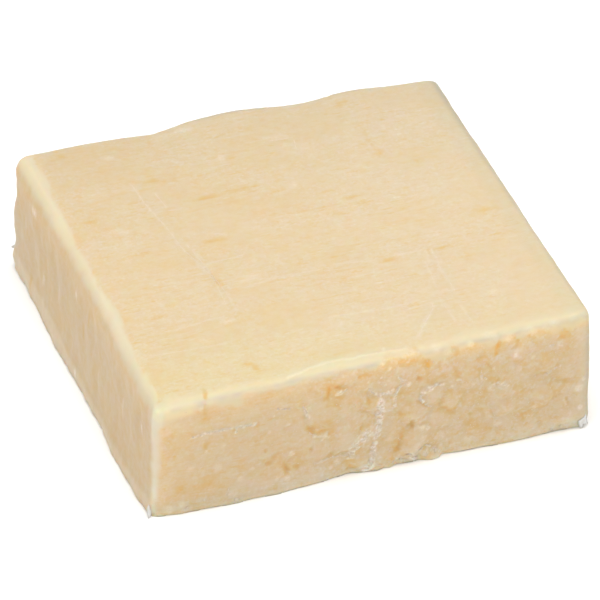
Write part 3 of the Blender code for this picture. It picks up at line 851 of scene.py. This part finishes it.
def joinedPiece(name, parts, material):
    # one mesh from many (corners, faces) parts
    corners, faces, start = [], [], 0
    for partCorners, partFaces in parts:
        corners.append(partCorners * mm)
        faces += [[start + index for index in face] for face in partFaces]
        start += len(partCorners)
    mesh = bpy.data.meshes.new(name)
    mesh.from_pydata(np.concatenate(corners).tolist(), [], faces)
    mesh.materials.append(material)
    mesh.shade_smooth()
    piece = bpy.data.objects.new(name, mesh)
    bpy.context.scene.collection.objects.link(piece)
    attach(piece, "root")
    print(name, "made:", sum(len(f) - 2 for f in faces), "triangles")


driedSet = {
    "crumb": ("#D1BFA6", "#D7C8B5"), "flap": ("#D6D2CC", "#DEDEDC"),
    "patchMm": 0.8, "roughness": 0.6, "shine": 0.2,
}


def driedCurd(name, colours):
    # scraps of curd thin enough to dry out: chalky and dull, cream to milky white
    material = newMaterial(name)
    tree = material.node_tree
    where = addNode(tree, "TexCoord").outputs["Object"]
    patches = addNode(tree, "TexNoise", {"Vector": where, "Scale": perMetre(driedSet["patchMm"]),
                                         "Detail": 2})
    share = addNode(tree, "MapRange", {0: patches, 1: 0.35, 2: 0.65})
    curd = addNode(tree, "Mix", {0: share, 6: linearColour(colours[0]), 7: linearColour(colours[1])},
                   data_type="RGBA").outputs[2]
    shader = addNode(tree, "BsdfPrincipled", {"Base Color": curd, "Roughness": driedSet["roughness"],
                                              "IOR": 1.45, "Specular IOR Level": driedSet["shine"]})
    addNode(tree, "OutputMaterial", {"Surface": shader})
    return material


crumbSet = {
    "seed": 7,
    "tries": 6000,  # places tried on the front; few are kept where it is smooth
    "strewn": 220,  # crumbs strewn over the front
    "strewnRadius": (0.08, 0.15),
    "perVein": 3.4,  # crumbs in each millimetre of a dried thread
    "veinRadius": (0.1, 0.2),
    "flatness": (0.35, 0.6),  # a crumb's height as a share of its width
    "sunk": 0.3,  # how deep a crumb sits, as a share of its height
    "others": [  # crumbs on the top and left: side, its two coordinates, radius
        ("top", -5.2, 30.7, 0.18), ("top", -10, 42, 0.34), ("top", -11.2, 42.2, 0.26),
        ("left", 30.4, 21.2, 0.16), ("left", 31.6, 21.1, 0.16),
    ],
}


def veinPlaces(line, halfWidth, rng):
    # crumbs strewn unevenly along a dried thread
    knots = np.array(line, float)
    steps = np.linalg.norm(np.diff(knots, axis=0), axis=1)
    reach = np.concatenate([[0], np.cumsum(steps)])
    places = rng.uniform(0, reach[-1], max(2, int(reach[-1] * crumbSet["perVein"])))
    middle = np.stack([np.interp(places, reach, knots[:, axis]) for axis in (0, 1)], 1)
    return middle + rng.normal(0, halfWidth * 0.45, middle.shape)


def makeCrumbs(tree, material):
    rng = np.random.default_rng(crumbSet["seed"])
    corners, faces = ballShape()
    wanted = list(crumbSet["others"])
    for halfWidth, _, line in slabSet["frontVeins"]:
        for x, z in veinPlaces(line, halfWidth, rng):
            wanted.append(("front", x, z, rng.uniform(*crumbSet["veinRadius"]) * (0.8 + halfWidth)))
    tries = crumbSet["tries"]
    strewn = np.stack([rng.uniform(-44, 45, tries), np.full(tries, -45.0), rng.uniform(0.8, 25, tries)], 1)
    dense = 0.12 + 0.5 * ease(strewn[:, 0], -22, 0) + 0.1 * ease(strewn[:, 2], 7, 2)
    dense *= ease(softNoise(strewn, (5, 9, 4), 91), -0.25, 0.5)
    kept = strewn[rng.random(tries) < dense][:crumbSet["strewn"]]
    for x, _, z in kept:
        wanted.append(("front", x, z, rng.uniform(*crumbSet["strewnRadius"])))
    parts = []
    for side, u, v, radius in wanted:
        hit = castOnSlab(tree, side, u, v)
        if hit is None or hit[0][2] < radius * 0.8:
            continue
        point, normal = hit
        axes = turnedAxes(normal, rng.uniform(0, 6.28))
        height = rng.uniform(*crumbSet["flatness"])
        size = radius * np.array([rng.uniform(0.8, 1.4), rng.uniform(0.7, 1), height])
        knobs = softNoise(corners + rng.uniform(0, 90, 3), (0.8, 0.8, 0.8), 95)
        knobbly = corners * (1 + 0.2 * knobs[:, None])
        parts.append(((knobbly * size) @ axes + point - normal * size[2] * crumbSet["sunk"], faces))
    joinedPiece("curdCrumbs", parts, material)


scrapeSet = {
    "scratches": {  # thin ridges of curd that the wire dragged up: points, width, height
        "top": [
            ([(-25.3, 27.7), (-24.7, 20.1), (-23.7, 14.6), (-22.9, 9.2), (-22.1, 0.9)], 0.16, 0.04),
            ([(-21.8, 23.2), (-21, 17.8)], 0.16, 0.04), ([(-21.2, 4.3), (-19.6, -1.7)], 0.14, 0.04),
            ([(-22.7, 4.8), (-20.3, -5.6), (-19.7, -7.8), (-20.2, -17.9)], 0.16, 0.04),
            ([(-20.7, 1.4), (-19.7, -6.5), (-19.1, -12.3), (-18.7, -17.7)], 0.16, 0.04),
            ([(21.3, -17.2), (20.6, -24.6)], 0.14, 0.04),
            ([(23.9, -13.8), (23.4, -19.8), (23.4, -29.3)], 0.2, 0.05),
            ([(22.8, -13.4), (22, -17.6)], 0.18, 0.05), ([(19.6, -31.1), (19.9, -38)], 0.14, 0.04),
            ([(22.4, -32.1), (23, -40.2)], 0.14, 0.04),
            ([(17.6, -30.9), (17.2, -32.6), (16, -34.1), (13.8, -36.8), (11.5, -40.1)], 0.26, 0.08),
            ([(-19.8, -3.5), (-15.4, -3.2), (-11.2, -2.7)], 0.18, 0.05),
            ([(-14.9, -13.7), (-6.6, -12.3), (1.2, -12.5)], 0.16, 0.04),
            ([(-40.9, -29), (-33.7, -29.6), (-24.1, -29.8)], 0.15, 0.04),
            ([(-36.8, -22.3), (-31.4, -22.5), (-23.4, -21.4), (-20.4, -22.8)], 0.15, 0.04),
            ([(-2.2, -28.3), (5.3, -29.1), (13, -29.4)], 0.22, 0.06),
            ([(16.6, -12.9), (19.4, -13.3), (22.3, -13.2)], 0.2, 0.05),
            ([(4, -11.7), (11.8, -13.2)], 0.15, 0.04), ([(-15.1, 6.2), (-12.6, 5)], 0.2, 0.05),
            ([(-32.1, 11.9), (-31.1, 11.6)], 0.24, 0.06),
            ([(5.5, 34.9), (6.2, 33.3), (8.8, 33.2), (11.2, 33.2)], 0.15, 0.04),
            ([(11.2, 33.2), (10.4, 29)], 0.13, 0.03),
        ],
        "front": [
            ([(-36.3, 17.9), (-32.2, 18.1), (-28.3, 18.1)], 0.24, 0.09),
            ([(-27.2, 17.1), (-27.2, 18.1), (-25, 18), (-22.9, 17.7)], 0.2, 0.08),
            ([(-13.8, 19.8), (-13.2, 18.4), (-12.8, 16.6)], 0.14, 0.05),
            ([(-11.6, 5.2), (-8.2, 5.8), (-4.4, 5.4)], 0.16, 0.05),
            ([(11.5, 17.3), (13, 18), (14.8, 17.8)], 0.16, 0.06),
        ],
    },
}


def scrapeRidge(tree, side, points, width, height, seed):
    # a low closed ridge that swells, thins and sinks away along its line
    knots = np.array(points, float)
    reach = np.concatenate([[0], np.cumsum(np.linalg.norm(np.diff(knots, axis=0), axis=1))])
    places = np.linspace(0, reach[-1], max(4, int(reach[-1] / 0.3)))
    line = np.stack([np.interp(places, reach, knots[:, axis]) for axis in (0, 1)], 1)
    wobble = softNoise(np.stack([places, places * 0, places * 0 + seed], 1), (1.7, 1, 1), 97)
    swell = softNoise(np.stack([places, places * 0, places * 0 + seed], 1), (0.9, 1, 1), 98)
    line[:, 0] += wobble * 0.09
    line[:, 1] += swell * 0.07
    hits = [castOnSlab(tree, side, u, v) for u, v in line]
    hits = [hit for hit in hits if hit is not None]
    rings = []
    for index, (point, normal) in enumerate(hits):
        ahead = hits[min(index + 1, len(hits) - 1)][0] - hits[max(index - 1, 0)][0]
        across = np.cross(normal, ahead)
        across /= np.linalg.norm(across)
        end = min(1, index / 2, (len(hits) - 1 - index) / 2)
        half = width * 0.6 * (0.75 + 0.5 * swell[index]) * (0.3 + 0.7 * end)
        rise = height * 0.6 * (0.3 + 1.2 * swell[index] + 0.6 * wobble[index]) * end
        rings.append([point + across * half * a + normal * b for a, b in
                      ((-1, -0.04), (-0.5, rise), (0.5, rise), (1, -0.04), (0, -0.12))])
    corners = np.array(rings).reshape(-1, 3)
    faces = []
    for ring in range(len(rings) - 1):
        for k in range(5):
            a, b = ring * 5 + k, ring * 5 + (k + 1) % 5
            faces.append([a, b, b + 5, a + 5])
    last = (len(rings) - 1) * 5
    faces += [[4, 3, 2, 1, 0], [last, last + 1, last + 2, last + 3, last + 4]]
    return corners, faces


def makeScrapes(tree, material):
    parts = []
    for side, scratches in scrapeSet["scratches"].items():
        for line, width, height in scratches:
            parts.append(scrapeRidge(tree, side, line, width, height, seed=len(parts) * 3.7))
    joinedPiece("scrapeBurrs", parts, material)


flakeSet = {
    "seed": 11,
    "spread": [(-40, 44, 10), (3, 16, 10)],  # from x, to x, how many little flakes
    "flakeThick": 0.1,
    "flapThick": 0.12,
    "flaps": [  # squeezed out at three foot corners: their outlines, point by point
        [(-44.6, -44.07, 2.98), (-44.17, -43.84, 2.17), (-43.97, -43.92, 0.71), (-43.93, -44, 0.22),
         (-44.47, -44.54, 0.31), (-44.99, -44.99, 0.21), (-45.13, -44.84, 0.78), (-45.2, -44.69, 1.74),
         (-45.06, -44.61, 2.72)],
        [(44.97, -45.2, 3.34), (45.23, -45.2, 2.07), (45.48, -45.2, 0.7), (45.16, -45.2, 0.71),
         (44.68, -45.3, 0.97), (44.36, -45.4, 1.05), (44.22, -45.42, 0.2), (43.9, -45.42, 0.33),
         (43.46, -45.42, 0.76), (43.32, -45.38, 2.08), (44.03, -45.38, 2.42), (44.61, -45.3, 2.77)],
        [(-44.9, 44.5, 5.4), (-45.6, 44.6, 5.2), (-46.39, 44.6, 4.86), (-46.15, 44.6, 4.46),
         (-45.75, 44.6, 4.29), (-44.9, 44.5, 4.4)],
    ],
}


def flake(outline, thick):
    # a thin plate between two copies of its outline
    rim = np.array(outline, float)
    middle = rim.mean(0)
    normal = np.cross(rim[0] - middle, rim[len(rim) // 3] - middle)
    normal /= np.linalg.norm(normal)
    count = len(rim)
    inner = middle + (rim - middle) * 0.6
    corners = np.concatenate([rim, inner + normal * thick / 2, inner - normal * thick / 2,
                              [middle + normal * thick * 0.6, middle - normal * thick * 0.6]])
    faces = []
    for k in range(count):
        n = (k + 1) % count
        faces += [[k, n, count + n, count + k], [n, k, 2 * count + k, 2 * count + n],
                  [count + k, count + n, 3 * count], [2 * count + n, 2 * count + k, 3 * count + 1]]
    return corners, faces


def makeFlaps(material):
    parts = [flake(outline, flakeSet["flapThick"]) for outline in flakeSet["flaps"]]
    joinedPiece("cornerFlaps", parts, material)


def makeFlakes(tree, material):
    # little flakes along the torn foot
    rng = np.random.default_rng(flakeSet["seed"])
    parts = []
    for x in np.concatenate([rng.uniform(*spread) for spread in flakeSet["spread"]]):
        hit = castOnSlab(tree, "front", x, rng.uniform(0.8, 4))
        if hit is None:
            continue
        point, normal = hit
        axes = turnedAxes(normal, rng.uniform(0, 6.28))
        turns = np.linspace(0, 2 * math.pi, 8)[:-1] + rng.uniform(-0.25, 0.25, 7)
        reach = rng.uniform(0.25, 0.5) * rng.uniform(0.6, 1.1, 7)
        flat = np.stack([np.cos(turns) * reach * 1.4, np.sin(turns) * reach, np.sin(turns) * 0.12 + 0.04], 1)
        outline = flat @ axes + point
        outline[:, 2] = np.maximum(outline[:, 2], 0.15)
        parts.append(flake(outline, flakeSet["flakeThick"]))
    joinedPiece("curdFlakes", parts, material)


def addWireMarks(mesh):
    tree = BVHTree.FromPolygons([v.co[:] for v in mesh.vertices], [f.vertices[:] for f in mesh.polygons])
    crumb = driedCurd("driedCurdCrumb", driedSet["crumb"])
    makeCrumbs(tree, crumb)
    makeScrapes(tree, crumb)
    makeFlakes(tree, crumb)
    makeFlaps(driedCurd("driedCurdFlap", driedSet["flap"]))


slab = makeSlab()
addWireMarks(slab.data)


# stage, light and camera

stageSet = {
    "floorSize": 6, "floor": "#FBFBFA",
    "sky": "#FFFFFF", "skyFront": 0.76, "skyBack": 0,  # the room is brightest behind the camera
    "skyTowards": (-0.25, -0.97, 0),
    "lampPlace": (-0.03, -0.08, 1.5), "lampSize": 1.6, "lampPower": 28.2,
}


def makeStage():
    bpy.ops.mesh.primitive_plane_add(size=stageSet["floorSize"])
    floor = bpy.context.object
    floor.name = "floor"
    material = bpy.data.materials.new("mattWhitePaper")  # an even, shineless ground
    material.use_nodes = True
    shader = material.node_tree.nodes["Principled BSDF"]
    shader.inputs["Base Color"].default_value = linearColour(stageSet["floor"])
    shader.inputs["Roughness"].default_value = 0.9
    floor.data.materials.append(material)
    world = bpy.data.worlds.new("softRoom")
    world.use_nodes = True
    sky = world.node_tree.nodes["Background"]
    sky.inputs["Color"].default_value = linearColour(stageSet["sky"])
    direction = addNode(world.node_tree, "TexCoord").outputs["Generated"]
    towards = addNode(world.node_tree, "VectorMath", {0: direction, 1: stageSet["skyTowards"]},
                      operation="DOT_PRODUCT").outputs["Value"]
    strength = addNode(world.node_tree, "MapRange", {0: towards, 1: -1, 2: 1, 3: stageSet["skyBack"],
                                                     4: stageSet["skyFront"]})
    world.node_tree.links.new(strength.outputs["Result"], sky.inputs["Strength"])
    bpy.context.scene.world = world
    data = bpy.data.lights.new("softbox", "AREA")
    data.shape = "DISK"
    data.size = stageSet["lampSize"]
    data.energy = stageSet["lampPower"]
    lamp = bpy.data.objects.new("softbox", data)
    lamp.location = stageSet["lampPlace"]
    lamp.rotation_euler = (-lamp.location).to_track_quat("-Z", "Y").to_euler()
    bpy.context.scene.collection.objects.link(lamp)


cameraSet = {
    "distance": 900, "turn": -19.06, "rise": 35.69,  # millimetres and degrees, as the slab was photographed
    "aim": (0.47, -2.13, 12),
    "lens": 270.1, "sensor": 36,
}


def makeCamera():
    turn, rise = math.radians(cameraSet["turn"]), math.radians(cameraSet["rise"])
    back = Vector((math.sin(turn) * math.cos(rise), -math.cos(turn) * math.cos(rise), math.sin(rise)))
    data = bpy.data.cameras.new("camera")
    data.lens = cameraSet["lens"]
    data.sensor_width = cameraSet["sensor"]
    camera = bpy.data.objects.new("camera", data)
    camera.location = (Vector(cameraSet["aim"]) + back * cameraSet["distance"]) * mm
    camera.rotation_euler = back.to_track_quat("Z", "Y").to_euler()
    bpy.context.scene.collection.objects.link(camera)
    bpy.context.scene.camera = camera


makeStage()
makeCamera()
bpy.context.scene.view_settings.view_transform = "Standard"
print("stage, light and camera set")
